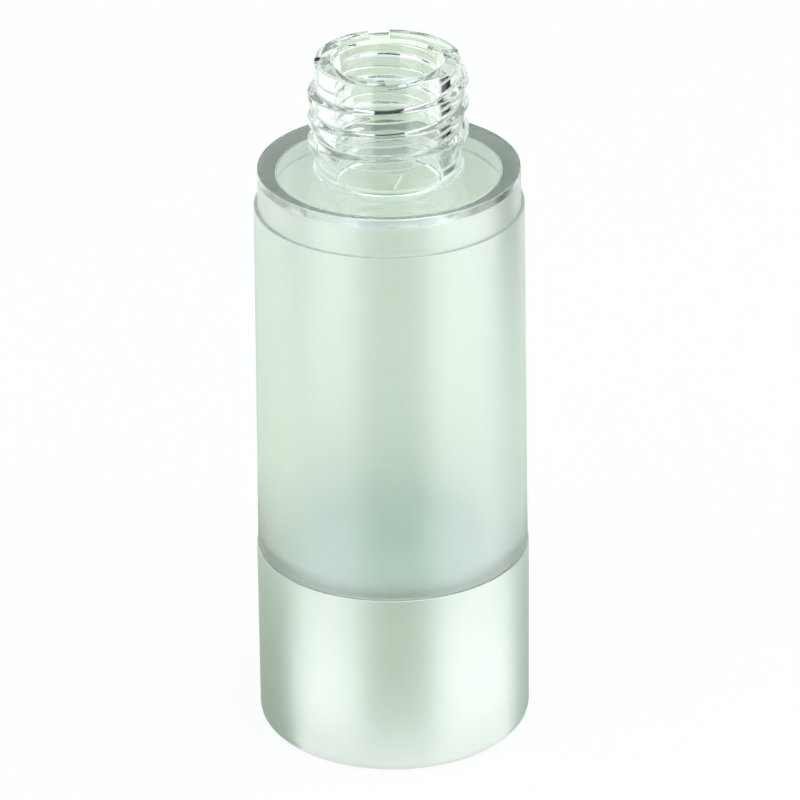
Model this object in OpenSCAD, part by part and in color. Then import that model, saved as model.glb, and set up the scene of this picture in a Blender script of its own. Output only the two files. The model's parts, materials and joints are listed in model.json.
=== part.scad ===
// 30 ml airless bottle without its pump: a thick clear bottle with a frosted barrel, the follower
// piston inside it, and a metal base. Millimetres, +Z up, origin at the centre of the underside.

/* [Barrel] */
// Outer diameter of the frosted barrel where it meets the base
barrel_d = 34.7; // [30:0.1:45]
// How much narrower the barrel is at the ledge, on the diameter
barrel_draft = 0.7; // [0:0.1:1]
// Height of the frosted barrel, from the base to the ledge
barrel_h = 47.4; // [35:0.1:70]
// Thickness of the barrel's wall where it meets the base
wall_t = 3.05; // [2.8:0.05:4]
// Thickness of the shoulder above the chamber
shoulder_t = 2; // [1.5:0.1:3]

/* [Cap band] */
// Width of the ledge under the band, on which an overcap lands
ledge_w = 0.5; // [0.2:0.1:1]
// Height of the band, from the ledge to the flat shoulder
band_h = 5; // [3:0.1:8]
// Rounding of the band's upper edge
band_round = 0.2; // [0.1:0.05:0.5]

/* [Neck] */
// Outer diameter of the neck between the turns of its thread
neck_d = 18.2; // [17:0.1:19]
// Height of the neck, from the shoulder to the rim
neck_h = 14.6; // [12:0.1:18]
// Diameter of the hole through the neck
neck_bore_d = 13.5; // [11:0.1:14]
// Radius of the fillet between the neck and the shoulder
neck_fillet = 0.6; // [0.2:0.1:1]
// Rounding of the rim's outer edge
rim_round = 0.3; // [0.1:0.1:0.4]
// Depth of the step from the rim down to the inner lip
rim_step = 0.5; // [0.3:0.1:0.8]
// Width of the inner lip
lip_w = 0.35; // [0.2:0.05:0.6]
// Height of the bevel from the lip into the hole
lip_bevel = 0.4; // [0.2:0.1:0.8]
// Number of notches across the rim
notch_count = 4; // [2:1:6]
// Width of a notch
notch_w = 2.7; // [1.5:0.1:3.5]
// Turn of the first notch from +X, in degrees
notch_turn = 7.5; // [0:0.5:45]

/* [Piston] */
// Height of the piston over both wiper lips
piston_h = 15; // [12:0.5:20]
// Radial clearance between the wiper lips and the bore
piston_gap = 0.05; // [0.02:0.01:0.1]
// Height of the band on which each wiper lip runs
lip_band_h = 1.2; // [0.8:0.1:2]
// Thickness of a wiper lip at its edge
lip_t = 0.6; // [0.4:0.1:0.9]
// How far the piston's waist stays clear of the bore
waist_gap = 0.6; // [0.4:0.1:1]
// Height over which a wiper lip flares out from the waist
flare_h = 2.4; // [1.5:0.1:3]
// Thickness of the piston's walls
piston_wall = 1.1; // [0.8:0.1:1.6]
// How far the resting piston shows above the base
piston_show = 1.1; // [0.5:0.1:3]
// Depth of the piston's face below the edge of its upper lip
face_drop = 0.9; // [0.5:0.1:2]
// Diameter of the well in the middle of the face
well_d = 7.6; // [5:0.1:12]
// Depth of the well below the face
well_depth = 3; // [1:0.5:5]
// Number of ribs under the face
rib_count = 6; // [3:1:12]
// Thickness of a rib
rib_t = 0.9; // [0.6:0.1:1.5]
// Height of the ribs below the web
rib_h = 6; // [3:0.5:8]

/* [Base plug] */
// How far the plug reaches up into the bore
plug_reach = 4.5; // [3:0.5:8]
// Thickness of the plug's walls
plug_wall = 1.2; // [0.8:0.1:2]
// How far the plug's flange stays inside the bottle's outer edge
flange_setback = 0.3; // [0.1:0.1:0.6]
// Diameter of the holes that let air in under the piston
vent_d = 3; // [1:0.5:5]

/* [Base liner] */
// Thickness of the liner's wall
liner_wall = 0.9; // [0.8:0.05:1.2]
// Thickness of the liner's floor
liner_floor = 1.2; // [0.8:0.1:2]
// Free height between the liner's floor and the plug
floor_gap = 3.45; // [0.5:0.05:12]
// Rounding of the liner's lower edge
liner_round = 1; // [0.8:0.1:1.5]
// Distance from the top of the base down to the middle of the snap bead
bead_drop = 6; // [4:0.5:10]
// How far the snap beads stand out
bead_out = 0.3; // [0.2:0.05:0.4]
// Radius of the snap beads' round section
bead_r = 0.7; // [0.5:0.1:1]

/* [Base shell] */
// How far the metal stands out past the barrel, on the radius
base_step = 0.15; // [0:0.05:0.5]
// Thickness of the metal
shell_t = 0.45; // [0.3:0.05:0.6]
// Radius of the rounded lower edge
base_round = 1.9; // [1:0.1:3]
// Width of the ring that the bottle stands on
stand_w = 3.6; // [2:0.1:6]
// Depth of the recess inside the standing ring
recess_depth = 0.5; // [0.3:0.1:1]
// Gap that shows between the metal edge and the barrel
seam_gap = 0.15; // [0.05:0.05:0.3]

/* [Hidden] */
$fn = 96;
// Cuts run past the faces that they open by this much
over = 1;
// Clearance between parts that are pushed or glued together
fit_gap = 0.05;
// Clearance under the piston when it rests on the plug
rest_gap = 0.1;

// Radii from the middle outwards
neck_bore_r = neck_bore_d / 2;
neck_r = neck_d / 2;
lip_r = neck_bore_r + lip_w;
seam_r = barrel_d / 2;
ledge_r = seam_r - barrel_draft / 2;
bore_r = seam_r - wall_t;
band_r = ledge_r - ledge_w;
base_r = seam_r + base_step;
liner_r = base_r - shell_t - fit_gap;
liner_bore_r = liner_r - liner_wall;
spigot_r = liner_bore_r - fit_gap;
recess_r = base_r - base_round - stand_w;

// Heights above the underside. The base is as high as what it holds: the liner's floor, the free
// height over it, the plug and the piston, which shows a little above the base
liner_z = recess_depth + shell_t + fit_gap;
floor_z = liner_z + liner_floor;
spigot_z = floor_z + floor_gap + plug_wall;
piston_z = spigot_z + plug_reach + rest_gap;
base_h = piston_z + piston_h - piston_show;
ledge_z = base_h + barrel_h;
shoulder_z = ledge_z + band_h;
chamber_top_z = shoulder_z - shoulder_t;
rim_z = shoulder_z + neck_h;
lip_z = rim_z - rim_step;
bead_z = base_h - bead_drop;
plug_bead_z = spigot_z + plug_reach / 2;

// Radii of the piston
wiper_r = bore_r - piston_gap;
waist_r = bore_r - waist_gap;
skirt_r = waist_r - piston_wall;
well_r = well_d / 2;
face_h = piston_h - face_drop;

// Half outline of a disc whose upper outer edge is rounded
module round_top_half(r, h, e) {
    square([r - e, h]);
    square([r, h - e]);
    translate([r - e, h - e]) circle(e);
}

// Half outline of a disc whose lower outer edge is rounded
module round_foot_half(r, h, e) {
    square([r - e, h]);
    translate([0, e]) square([r, h - e]);
    translate([r - e, e]) circle(e);
}

// Ring that stands out of a wall of radius r, or that a groove takes out of one
module snap_bead(r, out, section_r) {
    rotate_extrude() translate([r + out - section_r, 0]) circle(section_r);
}

// Concave ring that fills the corner between an upright wall of radius r and the flat below it
module corner_fillet(r, e) {
    rotate_extrude() difference() {
        translate([r - e, 0]) square([2 * e, e]);
        translate([r + e, e]) circle(e);
    }
}

// Thick walled moulding: barrel, cap band, shoulder, neck and the spigot that the base grips
module bottle_outside() {
    translate([0, 0, spigot_z]) cylinder(r = spigot_r, h = base_h - spigot_z);
    translate([0, 0, bead_z]) snap_bead(spigot_r, bead_out, bead_r);
    translate([0, 0, base_h]) cylinder(r1 = seam_r, r2 = ledge_r, h = barrel_h);
    translate([0, 0, ledge_z]) rotate_extrude() round_top_half(band_r, band_h, band_round);
    translate([0, 0, shoulder_z]) {
        rotate_extrude() round_top_half(neck_r, neck_h, rim_round);
        corner_fillet(neck_r, neck_fillet);
    }
}

// Notches across the raised ring of the rim, down to the inner lip
module rim_notches() {
    for (i = [0 : notch_count - 1])
        rotate([0, 0, notch_turn + i * 360 / notch_count])
            translate([0, -notch_w / 2, lip_z]) cube([neck_r + over, notch_w, rim_step + over]);
}

module bottle() {
    color([0.86, 0.92, 0.87, 0.6]) difference() {
        bottle_outside();
        translate([0, 0, spigot_z - over]) cylinder(r = bore_r, h = chamber_top_z - spigot_z + over);
        translate([0, 0, plug_bead_z]) snap_bead(bore_r, bead_out + fit_gap, bead_r + fit_gap);
        translate([0, 0, chamber_top_z - over]) cylinder(r = neck_bore_r, h = rim_z - chamber_top_z + 2 * over);
        translate([0, 0, lip_z]) cylinder(r = lip_r, h = rim_step + over);
        translate([0, 0, lip_z - lip_bevel]) cylinder(r1 = neck_bore_r, r2 = lip_r, h = lip_bevel);
        rim_notches();
    }
}

// Half outline of one wiper lip, its edge at the height 0 and its root below
module wiper_half() {
    polygon([
        [wiper_r - lip_t, 0],
        [wiper_r, 0],
        [wiper_r, -lip_band_h],
        [waist_r, -lip_band_h - flare_h],
        [skirt_r, -lip_band_h - flare_h],
    ]);
}

// Walls of the piston as one half outline
module piston_half() {
    translate([skirt_r, lip_band_h]) square([piston_wall, face_h - lip_band_h]);
    translate([0, face_h - piston_wall]) square([waist_r, piston_wall]);
    translate([0, face_h - well_depth - piston_wall])
        square([well_r + piston_wall, well_depth + piston_wall]);
    translate([0, piston_h]) wiper_half();
    mirror([0, 1]) wiper_half();
}

// Follower piston: two wiper lips, a closed face with a well in it, and ribs below
module piston() {
    color([0.93, 0.95, 0.94]) translate([0, 0, piston_z]) {
        difference() {
            rotate_extrude() piston_half();
            translate([0, 0, face_h - well_depth]) cylinder(r = well_r, h = well_depth + over);
        }
        for (i = [0 : rib_count - 1])
            rotate([0, 0, i * 360 / rib_count])
                translate([well_r + piston_wall / 2, -rib_t / 2, face_h - piston_wall - rib_h])
                    cube([skirt_r - well_r, rib_t, rib_h + piston_wall / 2]);
    }
}

// Stopper pushed into the lower end of the bottle: its ring is the piston's lower stop
module base_plug() {
    plug_r = bore_r - fit_gap;
    color([0.9, 0.9, 0.88]) translate([0, 0, spigot_z]) difference() {
        union() {
            translate([0, 0, -plug_wall]) cylinder(r = spigot_r - flange_setback, h = plug_wall);
            cylinder(r = plug_r, h = plug_reach);
            translate([0, 0, plug_bead_z - spigot_z]) snap_bead(plug_r, bead_out, bead_r);
        }
        cylinder(r = plug_r - plug_wall, h = plug_reach + over);
        translate([0, 0, -plug_wall - over]) cylinder(d = vent_d, h = plug_wall + 2 * over);
    }
}

// Plastic cup inside the metal base: it snaps over the bead on the bottle's spigot
module base_liner() {
    color([0.85, 0.86, 0.86]) difference() {
        translate([0, 0, liner_z]) rotate_extrude()
            round_foot_half(liner_r, base_h - liner_z, liner_round);
        translate([0, 0, floor_z]) cylinder(r = liner_bore_r, h = base_h);
        translate([0, 0, bead_z]) snap_bead(liner_bore_r, bead_out, bead_r);
        translate([0, 0, liner_z - over]) cylinder(d = vent_d, h = liner_floor + 2 * over);
    }
}

// Drawn metal cup with a rounded lower edge and a recessed underside
module base_shell() {
    color([0.8, 0.83, 0.81]) difference() {
        union() {
            difference() {
                rotate_extrude() round_foot_half(base_r, base_h - seam_gap, base_round);
                translate([0, 0, shell_t]) rotate_extrude()
                    round_foot_half(base_r - shell_t, base_h, base_round - shell_t);
            }
            cylinder(r = recess_r + shell_t, h = recess_depth + shell_t);
        }
        translate([0, 0, -over]) cylinder(r = recess_r, h = recess_depth + over);
        translate([0, 0, -over]) cylinder(d = vent_d / 2, h = recess_depth + shell_t + 2 * over);
    }
}

bottle();
piston();
base_plug();
base_liner();
base_shell();
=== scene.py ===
"""Looks of a 30 ml airless bottle without its pump: clear moulded neck and shoulder, frosted barrel,
follower piston and anodised metal base. Metres in Blender, millimetres in the outlines below."""

import json
import math

import bpy
import numpy as np
from mathutils import Matrix, Vector


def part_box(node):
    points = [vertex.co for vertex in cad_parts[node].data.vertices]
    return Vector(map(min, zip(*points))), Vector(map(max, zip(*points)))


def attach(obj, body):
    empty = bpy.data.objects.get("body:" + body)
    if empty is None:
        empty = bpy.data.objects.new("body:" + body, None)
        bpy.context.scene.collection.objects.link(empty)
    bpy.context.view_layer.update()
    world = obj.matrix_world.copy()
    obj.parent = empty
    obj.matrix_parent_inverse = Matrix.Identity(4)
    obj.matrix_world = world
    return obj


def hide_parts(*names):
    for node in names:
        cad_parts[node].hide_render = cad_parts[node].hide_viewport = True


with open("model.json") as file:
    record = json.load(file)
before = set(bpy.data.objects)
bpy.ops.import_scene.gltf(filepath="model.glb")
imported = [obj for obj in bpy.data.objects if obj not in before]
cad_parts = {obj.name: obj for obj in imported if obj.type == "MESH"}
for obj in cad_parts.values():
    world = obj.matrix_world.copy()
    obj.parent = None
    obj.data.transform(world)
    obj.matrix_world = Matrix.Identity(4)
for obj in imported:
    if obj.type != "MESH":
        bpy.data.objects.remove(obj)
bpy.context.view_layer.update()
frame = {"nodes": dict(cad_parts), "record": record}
scene = bpy.context.scene
MM = 0.001


# Sizes that the frame gives, in millimetres

def top_of(node):
    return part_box(node)[1].z / MM


def foot_of(node):
    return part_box(node)[0].z / MM


def radius_of(node):
    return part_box(node)[1].x / MM


mounts = {m["name"]: m for m in frame["record"]["mounts"]}
rim_z = top_of("bottle")
spigot_z = foot_of("bottle")
seam_r = radius_of("bottle")
base_r = radius_of("base_shell")
shell_top_z = top_of("base_shell")
base_h = top_of("base_liner")
plug_flange_r = radius_of("base_plug")
piston_z = foot_of("piston")
piston_h = top_of("piston") - piston_z
wiper_r = radius_of("piston")
shoulder_z = mounts["shoulder_face"]["pos_m"][2] / MM
band_r = mounts["cap_band"]["dims"]["r_mm"]
neck_bore_r = mounts["neck_bore"]["dims"]["r_mm"]

# Bottle: the barrel narrows upwards by its draft, and a band for the cap goes round its top
barrel_draft = 0.35
ledge_r = seam_r - barrel_draft
band_h = 5
ledge_z = shoulder_z - band_h
gloss_strip_h = 1.1
shoulder_t = 2
chamber_top_z = shoulder_z - shoulder_t
piston_gap = 0.05
bore_r = wiper_r + piston_gap
spigot_past_flange = 0.3
spigot_r = plug_flange_r + spigot_past_flange

# Neck, with a step inside the rim
neck_r = 9.1
neck_fillet = 0.6
lip_w = 0.35
lip_d = 0.5
lip_slope = 0.4
lip_r = neck_bore_r + lip_w
lip_z = rim_z - lip_d

# Snap beads, one outside on the spigot and one groove in the bore for the plug's
bead_out = 0.3
bead_r = 0.7
bead_below_seam = 6
bead_z = base_h - bead_below_seam
plug_bead_h = 2.25
plug_bead_z = spigot_z + plug_bead_h
plug_bead_play = 0.05

# Roundings of the corners
hairline, crisp, seam_edge, fine, small, edge_round, full = 0.05, 0.1, 0.12, 0.15, 0.2, 0.3, 0.4

# Piston: a face with a well in it, ribs below, and a flared lip at each end
piston_wall = 1.1
skirt_inset = 1.65
skirt_r = wiper_r - skirt_inset
face_d = 0.9
face = piston_h - face_d
well_r = 3.8
well_h = 3
wiper_h = 1.2
wiper_t = 0.6
wiper_t_at_face = 0.8625
flare_h = 3.6
flare_round = 0.5
waist_round = 1.0
well_round = 0.25
rib_count = 6
rib_t = 0.9
rib_h = 6

# Metal base
metal_t = 0.45
vent_r = 0.75
recess_r = 12
recess = 0.5
foot_round = 1.9
foot_edge_round = 0.25

# Thread on the neck: one right-handed start, angles in degrees
pitch = 3.175
crest_r = 10.03
crest_half = 0.48
root_half = 1.0
crest_left_z = 81.2
thread_start = 105
thread_end = 1225
run_out = 55
thread_turns = range(-1, 4)
row_step = 0.075

# Notches across the rim
notch_count = 4
notch_w = 2.7
notch_turn = 7.5
notch_reach = 25
notch_blend = 0.6
notch_floor_share = 0.02

# Columns of the bottle's mesh, in degrees: their steps, and the pair on either side of a notch's edge
column_step = 1.5
digit_column_step = 0.4
notch_pair = (0.12, 0.42)
notch_clearance = 0.6

# Moulded cavity number on the front of the neck: strokes as (along the neck, height)
digit_strokes = [((0.3, 80.55), (1.9, 80.55)), ((1.9, 80.55), (0.82, 78.65))]
digit_stroke_w = 0.2
digit_out = 0.14
digit_from, digit_to = 270.5, 283.5


def smooth(t):
    t = np.clip(t, 0, 1)
    return t * t * (3 - 2 * t)


# Outlines and lathed meshes

def rounded(corners, closed, steps=6, hold=0.02):
    """Outline through corners (r, z, rounding). Each rounded corner becomes an arc of so many steps, with a
    point held close to either end of it, so that smooth shading leaves the straight walls flat."""
    points = []
    count = len(corners)
    for i, (r, z, radius) in enumerate(corners):
        here = np.array([r, z], float)
        if radius == 0 or (not closed and i in (0, count - 1)):
            points.append(here)
            continue
        before = np.array(corners[i - 1][:2], float) - here
        after = np.array(corners[(i + 1) % count][:2], float) - here
        before /= np.linalg.norm(before)
        after /= np.linalg.norm(after)
        half = math.acos(np.clip(before @ after, -1, 1)) / 2
        reach = radius / math.tan(half)
        centre = here + (before + after) / np.linalg.norm(before + after) * radius / math.sin(half)
        start, stop = here + before * reach - centre, here + after * reach - centre
        sweep = math.pi - 2 * half
        turn = np.sign(start[0] * stop[1] - start[1] * stop[0])
        points.append(here + before * (reach + hold))
        for k in range(steps + 1):
            a = turn * sweep * k / steps
            c, s = math.cos(a), math.sin(a)
            points.append(centre + [start[0] * c - start[1] * s, start[0] * s + start[1] * c])
        points.append(here + after * (reach + hold))
    return np.array(points)


def lathed(name, outline, angles, closed=True, shape=None, slot_of=None):
    """Mesh that turns an outline of (r, z) in millimetres about Z, with one column at each angle."""
    rows, columns = len(outline), len(angles)
    r = np.repeat(outline[:, :1], columns, 1)
    z = np.repeat(outline[:, 1:], columns, 1)
    a = np.repeat(np.array(angles)[None], rows, 0)
    if shape:
        r, z, a = shape(r, z, a)
    a = np.radians(a)
    xyz = np.stack([r * np.cos(a), r * np.sin(a), z], -1) * MM
    verts, index = [], np.zeros((rows, columns), int)
    for i in range(rows):
        if outline[i, 0] == 0:
            index[i] = len(verts)
            verts.append(xyz[i, 0])
        else:
            index[i] = len(verts) + np.arange(columns)
            verts.extend(xyz[i])
    faces, slots = [], []
    for i in range(rows if closed else rows - 1):
        below, above = index[i], index[(i + 1) % rows]
        middle = (outline[i] + outline[(i + 1) % rows]) / 2
        slot = slot_of(*middle) if slot_of else 0
        for j in range(columns):
            k = (j + 1) % columns
            quad = [below[j], below[k], above[k], above[j]]
            faces.append(list(dict.fromkeys(int(q) for q in quad)))
            slots.append(slot)
    mesh = bpy.data.meshes.new(name)
    mesh.from_pydata([tuple(v) for v in verts], [], faces)
    mesh.polygons.foreach_set("material_index", slots)
    mesh.update()
    mesh.validate()
    thing = bpy.data.objects.new(name, mesh)
    scene.collection.objects.link(thing)
    soften(mesh)
    return thing


def soften(mesh, sharp_from=50):
    """Smooth shading, broken at edges that turn by more than an angle in degrees."""
    mesh.shade_smooth()
    mesh.set_sharp_from_angle(angle=math.radians(sharp_from))


def notch_offset(a):
    """Angle from the nearest notch's middle, in degrees."""
    step = 360 / notch_count
    return (a - notch_turn + step / 2) % step - step / 2


def notch_half(r):
    """Half angle that a notch with parallel sides takes at a radius, in degrees."""
    return np.degrees(np.arcsin(notch_w / 2 / r))


def neck_angles():
    """Columns round the bottle, with close pairs at the sides of the notches and more at the number."""
    half = notch_half(neck_r)
    angles = set(np.round(np.arange(0, 360, column_step), 3))
    for i in range(notch_count):
        middle = notch_turn + i * 360 / notch_count
        for edge in (middle - half, middle + half):
            angles = {a for a in angles if abs((a - edge + 180) % 360 - 180) > notch_clearance}
            angles |= {round((edge + side * d) % 360, 3) for d in notch_pair for side in (-1, 1)}
    angles |= set(np.round(np.arange(digit_from, digit_to, digit_column_step), 3))
    return sorted(angles)


def thread_height(a, z):
    """How far the thread stands out of the neck, by its crest's height at the left side, 180 degrees."""
    height = np.zeros_like(z)
    for turn in thread_turns:
        along = a + 360 * turn
        crest_z = crest_left_z + pitch * (along - 180) / 360
        fade = smooth((along - thread_start) / run_out) * smooth((thread_end - along) / run_out)
        across = (root_half - abs(z - crest_z)) / (root_half - crest_half)
        height = np.maximum(height, (crest_r - neck_r) * fade * smooth(across))
    return height


def digit_height(a, z):
    """How far the cavity number stands out of the neck."""
    u = np.radians((a - 90) % 360 - 180) * neck_r
    nearest = np.full(z.shape, np.inf)
    for (u0, z0), (u1, z1) in digit_strokes:
        du, dz = u1 - u0, z1 - z0
        t = np.clip(((u - u0) * du + (z - z0) * dz) / (du * du + dz * dz), 0, 1)
        nearest = np.minimum(nearest, np.hypot(u - u0 - t * du, z - z0 - t * dz))
    return digit_out * smooth((digit_stroke_w - nearest) / (digit_stroke_w / 2))


def shape_neck(r, z, a):
    """Puts the thread and the number on the neck's outer wall and the notches in the rim."""
    on_wall = np.isclose(r, neck_r, rtol=0, atol=1e-6) & (z > shoulder_z + neck_fillet + hairline)
    r = r + np.where(on_wall, np.maximum(thread_height(a, z), digit_height(a, z)), 0)
    offset = notch_offset(a)
    edge, first = notch_half(np.clip(r, lip_r, neck_r)), notch_half(neck_r)
    inside = offset * edge / first
    outside = edge + (abs(offset) - first) * (notch_reach - edge) / (notch_reach - first)
    warped = np.where(abs(offset) <= first, inside, np.sign(offset) * outside)
    warped = np.where(abs(offset) >= notch_reach, offset, warped)
    a = a + np.where(z > lip_z - notch_blend, warped - offset, 0)
    in_notch = (abs(offset) < first) & (z > lip_z)
    z = np.where(in_notch, lip_z + (z - lip_z) * notch_floor_share, z)
    return r, z, a


def bead(r, z, out, section_r, steps=8):
    """Corners of a bead that stands out of a wall, or of the groove for one, from below to above."""
    back = section_r - out
    reach = math.acos(back / section_r)
    return [
        (r - back + section_r * math.cos(t), z + section_r * math.sin(t), 0)
        for t in np.linspace(-reach, reach, steps + 1)
    ]


def bottle_outline():
    thread_foot_z = shoulder_z + neck_fillet + fine
    neck_rows = np.arange(thread_foot_z, lip_z - hairline, row_step)
    plug_groove = bead(bore_r, plug_bead_z, bead_out + plug_bead_play, bead_r + plug_bead_play)
    return rounded([
        (bore_r, spigot_z, edge_round),
        (spigot_r, spigot_z, full),
        *bead(spigot_r, bead_z, bead_out, bead_r),
        (spigot_r, base_h, edge_round),
        (seam_r, base_h, edge_round),
        (ledge_r, ledge_z, seam_edge),
        (band_r, ledge_z, crisp),
        (band_r, shoulder_z - gloss_strip_h, 0),
        (band_r, shoulder_z, small),
        (neck_r, shoulder_z, neck_fillet),
        *[(neck_r, z, 0) for z in neck_rows],
        (neck_r, rim_z, edge_round),
        (lip_r, rim_z, crisp),
        (lip_r, lip_z, hairline),
        (neck_bore_r, lip_z - lip_slope, crisp),
        (neck_bore_r, chamber_top_z, fine),
        (bore_r, chamber_top_z, edge_round),
        *reversed(plug_groove),
    ], closed=True)


def bottle_slot(r, z):
    """0 for clear faces, 1 for frosted ones, 2 for the satin strip under the shoulder's edge."""
    if r < band_r - hairline or not base_h < z < shoulder_z - fine:
        return 0
    return 1 if z < shoulder_z - gloss_strip_h else 2


def piston_outline():
    waist_r = skirt_r + piston_wall
    well_floor = face - well_h
    return rounded([
        (0, well_floor - piston_wall, 0),
        (well_r + piston_wall, well_floor - piston_wall, full),
        (well_r + piston_wall, face - piston_wall, full),
        (skirt_r, face - piston_wall, flare_round),
        (skirt_r, flare_h, full),
        (wiper_r - wiper_t, 0, fine),
        (wiper_r, 0, fine),
        (wiper_r, wiper_h, flare_round),
        (waist_r, flare_h, waist_round),
        (waist_r, piston_h - flare_h, waist_round),
        (wiper_r, piston_h - wiper_h, flare_round),
        (wiper_r, piston_h, fine),
        (wiper_r - wiper_t, piston_h, fine),
        (wiper_r - wiper_t_at_face, face, edge_round),
        (well_r, face, well_round),
        (well_r, well_floor, full),
        (0, well_floor, 0),
    ], closed=False) + [0, piston_z]


def add_ribs(piston):
    """Joins the straight ribs under the face to the piston, from the well's wall to the skirt."""
    inner, outer = well_r + piston_wall / 2, skirt_r + piston_wall / 2
    low, high = piston_z + face - piston_wall - rib_h, piston_z + face - piston_wall / 2
    verts, faces = [], []
    for i in range(rib_count):
        turn = Matrix.Rotation(2 * math.pi * i / rib_count, 3, "Z")
        verts += [turn @ Vector((x, y, z)) * MM
                  for z in (low, high) for y in (-rib_t / 2, rib_t / 2) for x in (inner, outer)]
        faces += [tuple(8 * i + k for k in side) for side in (
            (0, 2, 3, 1), (4, 5, 7, 6), (0, 1, 5, 4), (2, 6, 7, 3), (0, 4, 6, 2), (1, 3, 7, 5))]
    mesh = bpy.data.meshes.new("ribs")
    mesh.from_pydata(verts, [], faces)
    ribs = bpy.data.objects.new("ribs", mesh)
    scene.collection.objects.link(ribs)
    joined = piston.modifiers.new("ribs", "BOOLEAN")
    joined.operation = "UNION"
    joined.solver = "EXACT"
    joined.object = ribs
    bpy.context.view_layer.update()
    depsgraph = bpy.context.evaluated_depsgraph_get()
    merged = bpy.data.meshes.new_from_object(piston.evaluated_get(depsgraph))
    merged.name = piston.name
    piston.modifiers.clear()
    piston.data = merged
    bpy.data.objects.remove(ribs)
    soften(merged)


def shell_outline():
    return rounded([
        (vent_r, recess, crisp),
        (recess_r, recess, small),
        (recess_r, 0, foot_edge_round),
        (base_r, 0, foot_round),
        (base_r, shell_top_z, seam_edge),
        (base_r - metal_t, shell_top_z, crisp),
        (base_r - metal_t, metal_t, foot_round - metal_t),
        (recess_r + metal_t, metal_t, crisp),
        (recess_r + metal_t, recess + metal_t, crisp),
        (vent_r, recess + metal_t, crisp),
    ], closed=True, steps=10)


# Materials: colour, roughness and height vary by a noise each, given as (scale per metre, detail), and the
# depths of bumps are in metres

def noise(tree, place, scale, detail):
    node = tree.nodes.new("ShaderNodeTexNoise")
    node.inputs["Scale"].default_value = scale
    node.inputs["Detail"].default_value = detail
    node.inputs["Roughness"].default_value = 0.55
    tree.links.new(place, node.inputs["Vector"])
    return node.outputs["Fac"]


def spread(tree, value, low, high):
    """Maps a noise, which lies mostly between 0.3 and 0.7, onto low to high."""
    node = tree.nodes.new("ShaderNodeMapRange")
    node.inputs["From Min"].default_value = 0.3
    node.inputs["From Max"].default_value = 0.7
    node.inputs["To Min"].default_value = low
    node.inputs["To Max"].default_value = high
    tree.links.new(value, node.inputs["Value"])
    return node.outputs["Result"]


def tint(tree, value, first, second):
    """Colour between two by a noise."""
    node = tree.nodes.new("ShaderNodeMix")
    node.data_type = "RGBA"
    factor, a, b, mixed = node.inputs["Factor"], node.inputs[6], node.inputs[7], node.outputs[2]
    a.default_value = (*first, 1)
    b.default_value = (*second, 1)
    tree.links.new(spread(tree, value, 0, 1), factor)
    return mixed


def surface(name, colours, colour_noise, roughness, roughness_noise, bump_noise, bump_depth, settings={}):
    """Material with fixed shader settings and a colour, roughness and bump that vary over the surface."""
    material = bpy.data.materials.new(name)
    material.use_nodes = True
    tree = material.node_tree
    shader = tree.nodes["Principled BSDF"]
    for socket, value in settings.items():
        shader.inputs[socket].default_value = value
    place = tree.nodes.new("ShaderNodeTexCoord").outputs["Object"]
    colour = tint(tree, noise(tree, place, *colour_noise), *colours)
    tree.links.new(colour, shader.inputs["Base Color"])
    gloss = spread(tree, noise(tree, place, *roughness_noise), *roughness)
    tree.links.new(gloss, shader.inputs["Roughness"])
    bump = tree.nodes.new("ShaderNodeBump")
    bump.inputs["Distance"].default_value = bump_depth
    tree.links.new(noise(tree, place, *bump_noise), bump.inputs["Height"])
    tree.links.new(bump.outputs["Normal"], shader.inputs["Normal"])
    return material


def clear_plastic(name, roughness):
    """Clear plastic with a faint flow wave."""
    return surface(
        name, settings={"Transmission Weight": 1, "IOR": 1.55},
        colours=((0.965, 0.982, 0.972), (0.98, 0.992, 0.985)), colour_noise=(160, 2),
        roughness=roughness, roughness_noise=(900, 3),
        bump_noise=(160, 2), bump_depth=0.00004)


def frosted_plastic():
    """The same plastic, etched: it scatters what passes and is slightly milky."""
    return surface(
        "frosted_plastic", settings={"Transmission Weight": 0.84, "Metallic": 0.2, "IOR": 1.5},
        colours=((0.955, 0.985, 0.965), (0.975, 0.995, 0.98)), colour_noise=(60, 3),
        roughness=(0.33, 0.38), roughness_noise=(60, 3),
        bump_noise=(5200, 4), bump_depth=0.00002)


def piston_plastic():
    return surface(
        "piston_plastic",
        colours=((0.63, 0.88, 0.79), (0.66, 0.91, 0.82)), colour_noise=(90, 3),
        roughness=(0.34, 0.46), roughness_noise=(700, 3),
        bump_noise=(2400, 3), bump_depth=0.00003)


def satin_plastic(name, colours):
    return surface(
        name, colours=colours, colour_noise=(120, 3),
        roughness=(0.38, 0.5), roughness_noise=(900, 3),
        bump_noise=(2000, 3), bump_depth=0.00003)


def anodised_metal():
    return surface(
        "base_metal", settings={"Metallic": 1},
        colours=((0.68, 0.73, 0.69), (0.72, 0.77, 0.73)), colour_noise=(70, 3),
        roughness=(0.40, 0.46), roughness_noise=(1500, 3),
        bump_noise=(6500, 4), bump_depth=0.00002)


# Camera, at the photograph's viewing angle
elevation = math.radians(26.409)
roll = math.radians(-0.605)
camera_place = Vector((0.001088, -0.6856, 0.3854))
focal_length = 270.4
ahead = Vector((0, math.cos(elevation), -math.sin(elevation)))
right = Vector((1, 0, 0))
up = right.cross(ahead)
across = right * math.cos(roll) + up * math.sin(roll)
upright = up * math.cos(roll) - right * math.sin(roll)
camera_data = bpy.data.cameras.new("camera")
camera_data.sensor_width = 36
camera_data.lens = focal_length
camera_data.clip_start = 0.05
camera = bpy.data.objects.new("camera", camera_data)
scene.collection.objects.link(camera)
camera.matrix_world = Matrix((
    (across.x, upright.x, -ahead.x, camera_place.x),
    (across.y, upright.y, -ahead.y, camera_place.y),
    (across.z, upright.z, -ahead.z, camera_place.z),
    (0, 0, 0, 1),
))
scene.camera = camera
scene.view_settings.view_transform = "Standard"


# Studio

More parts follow.
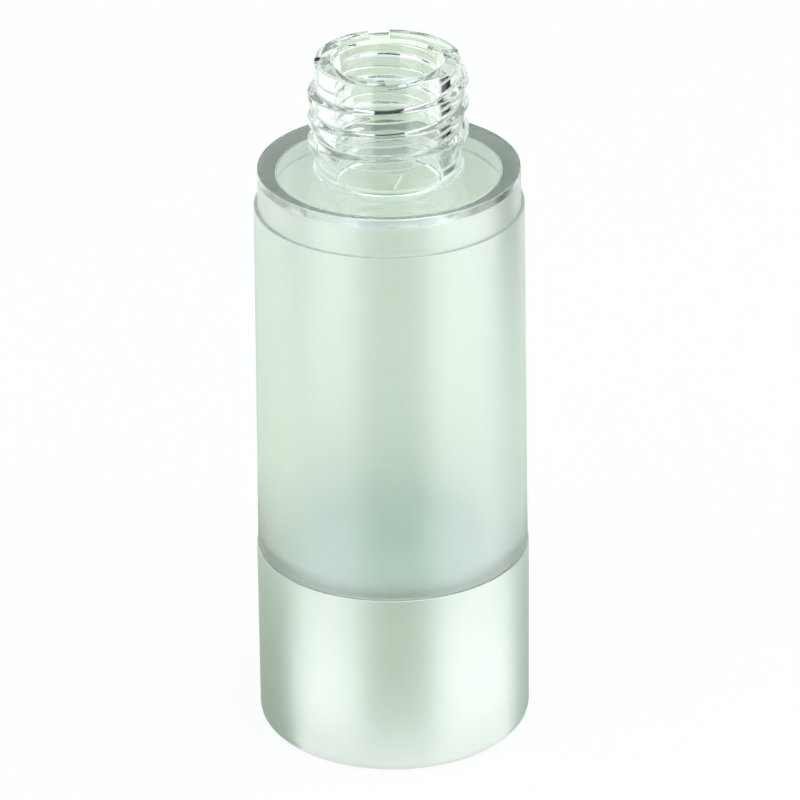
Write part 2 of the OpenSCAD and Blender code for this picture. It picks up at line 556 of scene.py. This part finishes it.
def direction(azimuth, height=0.0):
    """Direction from the object, azimuth from the front towards +X, both in degrees."""
    a, h = math.radians(azimuth), math.radians(height)
    return Vector((math.sin(a) * math.cos(h), -math.cos(a) * math.cos(h), math.sin(h)))


def glowing_sheet(name, rows, colour):
    """Sheet of an even brightness through rows of points, seen in reflections and through glass but not by
    the camera."""
    count = len(rows[0])
    faces = [
        (i, i + 1, i + count + 1, i + count)
        for row in range(len(rows) - 1) for i in range(row * count, (row + 1) * count - 1)
    ]
    mesh = bpy.data.meshes.new(name)
    mesh.from_pydata([point for row in rows for point in row], [], faces)
    thing = bpy.data.objects.new(name, mesh)
    scene.collection.objects.link(thing)
    material = bpy.data.materials.new(name)
    material.use_nodes = True
    tree = material.node_tree
    tree.nodes.clear()
    glow = tree.nodes.new("ShaderNodeEmission")
    glow.inputs["Color"].default_value = (*colour, 1)
    out = tree.nodes.new("ShaderNodeOutputMaterial")
    tree.links.new(glow.outputs["Emission"], out.inputs["Surface"])
    mesh.materials.append(material)
    thing.visible_camera = False
    thing.visible_shadow = False


def turns(sector, steps=24):
    """Azimuths from one side of a sector to the other."""
    return np.linspace(*sector, steps + 1)


def card(name, sector, low, high, colour, steps=12):
    """Curved card round the object, between two elevations in degrees."""
    heights = np.linspace(low, high, steps + 1)
    glowing_sheet(name, [[direction(a, h) * EDGE for a in turns(sector)] for h in heights], colour)


def board(name, sector, near, far, colour):
    """Glowing board that lies on the floor and stands for the lit floor in reflections and through glass.
    Its sides start from the base's wall, where that reflects them to the camera, so that in the metal they
    stand upright."""
    def spot(azimuth, reach):
        start = np.interp(azimuth % 360, *mirror_turns)
        return direction(start) * WALL + direction(azimuth) * (reach - WALL) - Vector((0, 0, board_drop))

    glowing_sheet(name, [[spot(a, reach) for a in turns(sector)] for reach in (near, far)], colour)


def seen_directly(tree, camera_share, mirror_share):
    """Share of white in the background, for the camera's rays and for those reflected or through glass."""
    path = tree.nodes.new("ShaderNodeLightPath")
    mirrored = tree.nodes.new("ShaderNodeMath")
    mirrored.operation = "MAXIMUM"
    tree.links.new(path.outputs["Is Glossy Ray"], mirrored.inputs[0])
    tree.links.new(path.outputs["Is Transmission Ray"], mirrored.inputs[1])
    shares = []
    for socket, share in (
        (path.outputs["Is Camera Ray"], camera_share),
        (mirrored.outputs[0], mirror_share),
    ):
        scaled = tree.nodes.new("ShaderNodeMath")
        scaled.operation = "MULTIPLY"
        scaled.inputs[1].default_value = share
        tree.links.new(socket, scaled.inputs[0])
        shares.append(scaled.outputs[0])
    both = tree.nodes.new("ShaderNodeMath")
    both.operation = "MAXIMUM"
    tree.links.new(shares[0], both.inputs[0])
    tree.links.new(shares[1], both.inputs[1])
    return both.outputs[0]


def make_world(colour):
    """World of an even colour, which is white to the camera, in reflections and through glass."""
    world = bpy.data.worlds.new("studio")
    world.use_nodes = True
    scene.world = world
    tree = world.node_tree
    tree.nodes.clear()
    soft = tree.nodes.new("ShaderNodeBackground")
    soft.inputs["Color"].default_value = (*colour, 1)
    white = tree.nodes.new("ShaderNodeBackground")
    white.inputs["Color"].default_value = (1, 1, 1, 1)
    mix = tree.nodes.new("ShaderNodeMixShader")
    out = tree.nodes.new("ShaderNodeOutputWorld")
    tree.links.new(seen_directly(tree, 1, 1), mix.inputs[0])
    tree.links.new(soft.outputs[0], mix.inputs[1])
    tree.links.new(white.outputs[0], mix.inputs[2])
    tree.links.new(mix.outputs[0], out.inputs["Surface"])


def make_floor(half_size, drop, colour, white_share):
    """White floor that only the camera sees, and that keeps a part of the object's shadow."""
    mesh = bpy.data.meshes.new("floor")
    h = half_size
    mesh.from_pydata([(-h, -h, -drop), (h, -h, -drop), (h, h, -drop), (-h, h, -drop)], [], [(0, 1, 2, 3)])
    floor = bpy.data.objects.new("floor", mesh)
    scene.collection.objects.link(floor)
    material = bpy.data.materials.new("floor")
    material.use_nodes = True
    tree = material.node_tree
    tree.nodes.clear()
    matte = tree.nodes.new("ShaderNodeBsdfDiffuse")
    matte.inputs["Color"].default_value = (*colour, 1)
    glow = tree.nodes.new("ShaderNodeEmission")
    mix = tree.nodes.new("ShaderNodeMixShader")
    out = tree.nodes.new("ShaderNodeOutputMaterial")
    tree.links.new(seen_directly(tree, white_share, 0), mix.inputs[0])
    tree.links.new(matte.outputs[0], mix.inputs[1])
    tree.links.new(glow.outputs[0], mix.inputs[2])
    tree.links.new(mix.outputs[0], out.inputs["Surface"])
    mesh.materials.append(material)
    floor.visible_glossy = False
    floor.visible_transmission = False
    floor.visible_diffuse = False
    floor.visible_shadow = False


make_world(colour=(0.92, 1.06, 1.0))
make_floor(half_size=3, drop=0.00005, colour=(0.9, 0.9, 0.9), white_share=0.9)
# Sectors of the studio, as azimuths from the front towards +X
FRONT, RIGHT, RIGHT_GAP = (-27, 34), (34, 107), (107, 141)
REAR, REAR_RIGHT, REAR_MID, REAR_LEFT = (141, 265), (141, 165), (165, 195), (195, 265)
LEFT_GAP, LEFT = (265, 288), (288, 333)
# The same for the boards nearest to the object, which the metal shows
NEAR_RIGHT, NEAR_GAP, NEAR_REAR, NEAR_LEFT = (34, 119), (119, 141), (141, 266), (266, 333)
# Distances at which one row of boards ends and the next begins, in metres. The cards stand at the last.
WALL = base_r * MM
ROW_1, ROW_2, ROW_3, ROW_4, ROW_5, EDGE = 0.03, 0.07, 0.1, 0.165, 0.3, 1.2
board_drop = 0.0002
# Azimuths round the studio, and those on the base's wall where it shows them: half as far from the front
mirror_turns = (0, REAR[0], REAR[1], 360), (0, REAR[0] / 2, 180 + REAR[1] / 2, 360)
PALE, MINT, LEAF = (0.97, 1, 0.99), (0.84, 1, 0.93), (0.84, 1, 0.8)
# Boards on the floor: name, sector, near and far edge, brightness, tint
for name, sector, near, far, level, hue in (
    ("board_front_near", FRONT, WALL, ROW_1, 1.1, PALE),
    ("board_front_low", FRONT, ROW_1, ROW_2, 0.7, LEAF),
    ("board_front_mid", FRONT, ROW_2, ROW_3, 0.8, LEAF),
    ("board_front_dark", FRONT, ROW_3, ROW_5, 0, PALE),
    ("board_front_far", FRONT, ROW_5, EDGE, 0.8, LEAF),
    ("board_right_near", NEAR_RIGHT, WALL, ROW_1, 1.2, PALE),
    ("board_right_low", NEAR_RIGHT, ROW_1, ROW_2, 1.45, PALE),
    ("board_right_mid", RIGHT, ROW_2, ROW_4, 1.1, PALE),
    ("board_right_far", RIGHT, ROW_4, EDGE, 1.5, PALE),
    ("board_left_near", NEAR_LEFT, WALL, ROW_1, 1.1, PALE),
    ("board_left_low", NEAR_LEFT, ROW_1, ROW_2, 1.45, PALE),
    ("board_left_mid", LEFT, ROW_2, ROW_4, 0.75, PALE),
    ("board_left_far", LEFT, ROW_4, EDGE, 1.5, PALE),
    ("board_gap_near", NEAR_GAP, WALL, ROW_2, 0.6, MINT),
    ("board_right_gap_mid", RIGHT_GAP, ROW_2, ROW_4, 1, MINT),
    ("board_right_gap_dark", RIGHT_GAP, ROW_4, EDGE, 0, PALE),
    ("board_left_gap_mid", LEFT_GAP, ROW_2, ROW_4, 1, MINT),
    ("board_left_gap_dark", LEFT_GAP, ROW_4, ROW_5, 0, PALE),
    ("board_left_gap_far", LEFT_GAP, ROW_5, EDGE, 0.75, PALE),
    # Painted shadow: the board nearest the base at the rear glows dimmer, standing for the object's shadow
    # on the floor as the metal reflects it
    ("board_rear_near", NEAR_REAR, WALL, ROW_2, 0.5, LEAF),
    ("board_rear_mid", REAR, ROW_2, ROW_4, 1.15, LEAF),
    ("board_rear_right", REAR_RIGHT, ROW_4, ROW_5, 1.15, PALE),
    ("board_rear_centre", REAR_MID, ROW_4, ROW_5, 0.75, LEAF),
    ("board_rear_left", REAR_LEFT, ROW_4, ROW_5, 1.15, PALE),
    ("board_rear_far", REAR, ROW_5, EDGE, 0.9, PALE),
):
    board(name, sector, near, far, [level * h for h in hue])
# Cards round the object: name, sector, lower and upper elevation in degrees, brightness, tint
for name, sector, low, high, level, hue in (
    ("card_front_low", FRONT, 0, 28, 1.45, MINT),
    ("card_front_high", FRONT, 28, 70, 1.1, MINT),
    ("card_right", RIGHT, 0, 70, 1.5, PALE),
    ("card_left", LEFT, 0, 70, 1.5, PALE),
    ("card_right_gap_dark", RIGHT_GAP, 0, 12, 0, PALE),
    ("card_right_gap", RIGHT_GAP, 12, 48, 1.05, MINT),
    ("card_left_gap", LEFT_GAP, 0, 48, 1.05, MINT),
    ("card_rear_low", REAR, 0, 12, 0.9, PALE),
    ("card_rear_centre", REAR_MID, 12, 48, 0.55, MINT),
    ("card_rear_right", REAR_RIGHT, 12, 48, 0.8, MINT),
    ("card_rear_left", REAR_LEFT, 12, 48, 0.8, MINT),
):
    card(name, sector, low, high, [level * h for h in hue])
scene.cycles.max_bounces = 24
scene.cycles.glossy_bounces = 16
scene.cycles.transmission_bounces = 24

# Pieces
bottle = lathed("bottle_moulding", bottle_outline(), neck_angles(), shape=shape_neck, slot_of=bottle_slot)
bottle.data.materials.append(clear_plastic("clear_plastic", roughness=(0.012, 0.035)))
bottle.data.materials.append(frosted_plastic())
bottle.data.materials.append(clear_plastic("satin_strip", roughness=(0.16, 0.22)))
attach(bottle, "bottle_body")
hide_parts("bottle")

round_column_step = 1.875
round_angles = np.arange(0, 360, round_column_step)
piston = lathed("follower_piston", piston_outline(), round_angles, closed=False)
add_ribs(piston)
piston.data.materials.append(piston_plastic())
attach(piston, "follower")
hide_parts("piston")

shell = lathed("metal_base", shell_outline(), round_angles)
shell.data.materials.append(anodised_metal())
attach(shell, "bottle_body")
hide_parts("base_shell")

for node, colours in {
    "base_plug": ((0.88, 0.93, 0.91), (0.91, 0.96, 0.94)),
    "base_liner": ((0.88, 0.96, 0.93), (0.91, 0.98, 0.95)),
}.items():
    carried = frame["nodes"][node]
    carried.data.materials.clear()
    carried.data.materials.append(satin_plastic(node + "_plastic", colours))
